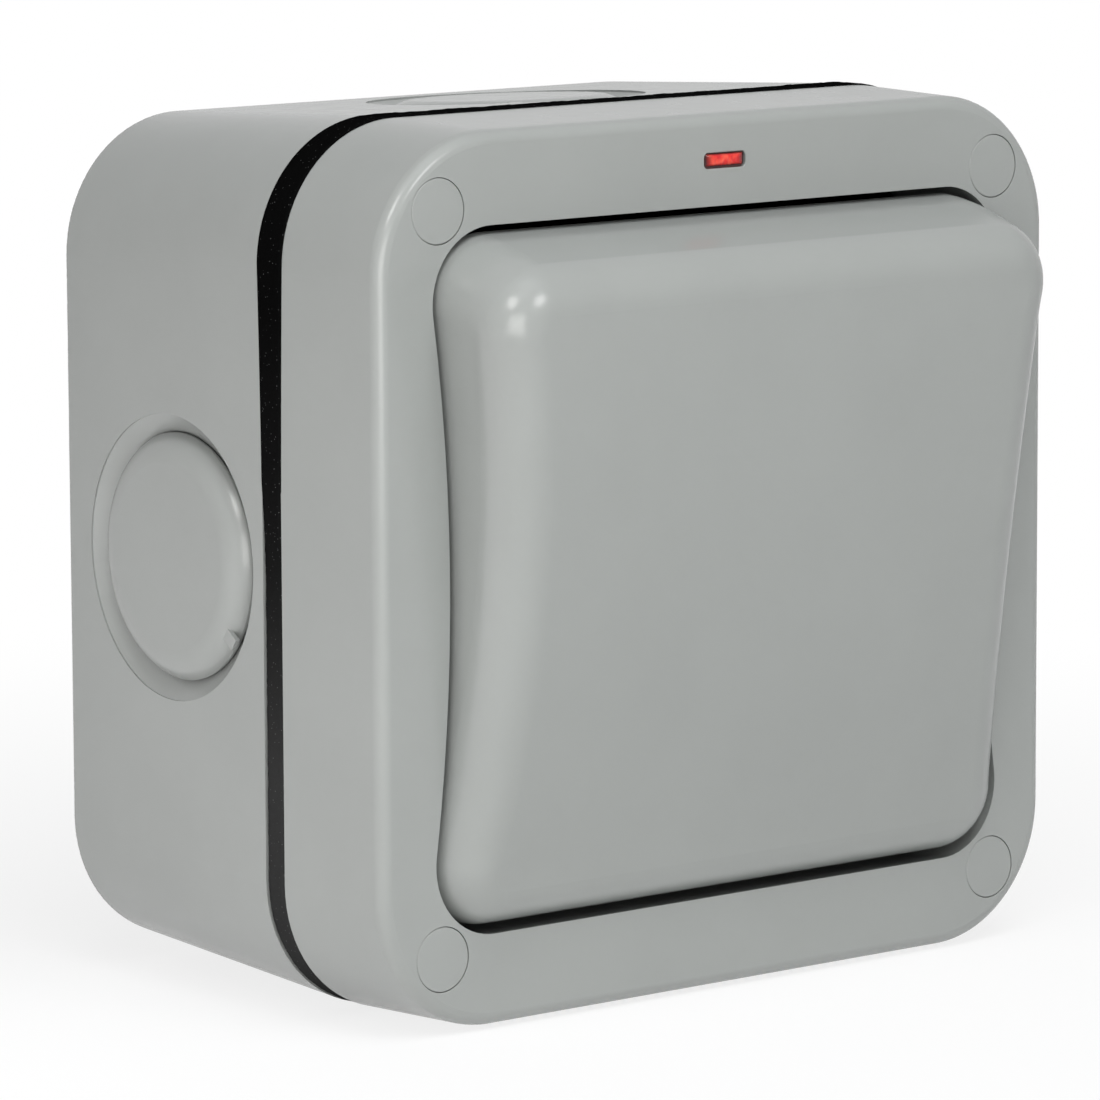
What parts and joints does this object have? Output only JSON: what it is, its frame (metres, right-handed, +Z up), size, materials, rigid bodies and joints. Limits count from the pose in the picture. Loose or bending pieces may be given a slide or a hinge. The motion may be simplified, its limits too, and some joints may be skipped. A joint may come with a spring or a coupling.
{
  "type": "outdoor weatherproof switch",
  "caption": "Square surface-mounted weatherproof rocker switch with a sealed back box, large waisted paddle, red indicator, blanked cable entries and a double-pole mechanism inside.",
  "frame": {"origin": "centre of the rear face, on the wall", "axes": "+Y into the wall, the front looks along -Y, +Z up, +X to the right seen from the front"},
  "size_m": [0.0926, 0.0657, 0.092],
  "materials": {
    "grey_plastic": "light grey satin moulded plastic",
    "black_rubber": "black sponge rubber",
    "red_lens": "clear red moulded lens",
    "lamp_glass": "small neon tube",
    "black_plastic": "black thermoset moulding",
    "white_plastic": "off-white moulding",
    "steel": "zinc plated steel",
    "brass": "bright brass",
    "copper": "copper strip with silver contact"
  },
  "bodies": {
    "housing": {"back_box": "grey_plastic", "front_cover": "grey_plastic", "screw_caps": "grey_plastic", "entry_plug_left": "grey_plastic", "entry_plug_right": "grey_plastic", "entry_plug_top": "grey_plastic", "entry_plug_bottom": "grey_plastic", "seam_gasket": "black_rubber", "rocker_seal": "black_rubber", "screw_seals": "black_rubber", "plug_seals": "black_rubber", "indicator_lens": "red_lens", "neon_lamp": "lamp_glass", "switch_base": "black_plastic", "support_plate": "white_plastic", "cover_screws": "steel", "plate_screws": "steel", "base_screws": "steel", "dolly_pin": "steel", "line_in_terminal": "brass", "line_out_terminal": "brass", "neutral_in_terminal": "brass", "neutral_out_terminal": "brass", "terminal_screws": "brass", "earth_terminal": "brass", "earth_screw": "brass"},
    "rocker": {"rocker": "grey_plastic"},
    "dolly": {"dolly": "black_plastic", "plungers": "white_plastic", "plunger_springs": "steel"},
    "line_blade": {"line_blade": "copper"},
    "neutral_blade": {"neutral_blade": "copper"}
  },
  "joints": [
    {"name": "rocker_tilt", "type": "hinge", "parent": "housing", "child": "rocker", "pos_m": [0, -0.04875, 0], "axis": [-1, 0, 0], "range_deg": [0, 16.6]},
    {"name": "dolly_tilt", "type": "hinge", "parent": "housing", "child": "dolly", "pos_m": [0, -0.0374, 0], "axis": [1, 0, 0], "range_deg": [0, 11.53]},
    {"name": "line_blade_tilt", "type": "hinge", "parent": "housing", "child": "line_blade", "pos_m": [-0.006, -0.0267, 0], "axis": [-1, 0, 0], "range_deg": [0, 8.01]},
    {"name": "neutral_blade_tilt", "type": "hinge", "parent": "housing", "child": "neutral_blade", "pos_m": [0.006, -0.0267, 0], "axis": [-1, 0, 0], "range_deg": [0, 8.01]}
  ],
  "couplings": [
    {"joint": "dolly_tilt", "follows": "rocker_tilt", "ratio": 0.69403},
    {"joint": "line_blade_tilt", "follows": "rocker_tilt", "ratio": 0.48193},
    {"joint": "neutral_blade_tilt", "follows": "rocker_tilt", "ratio": 0.48193}
  ]
}
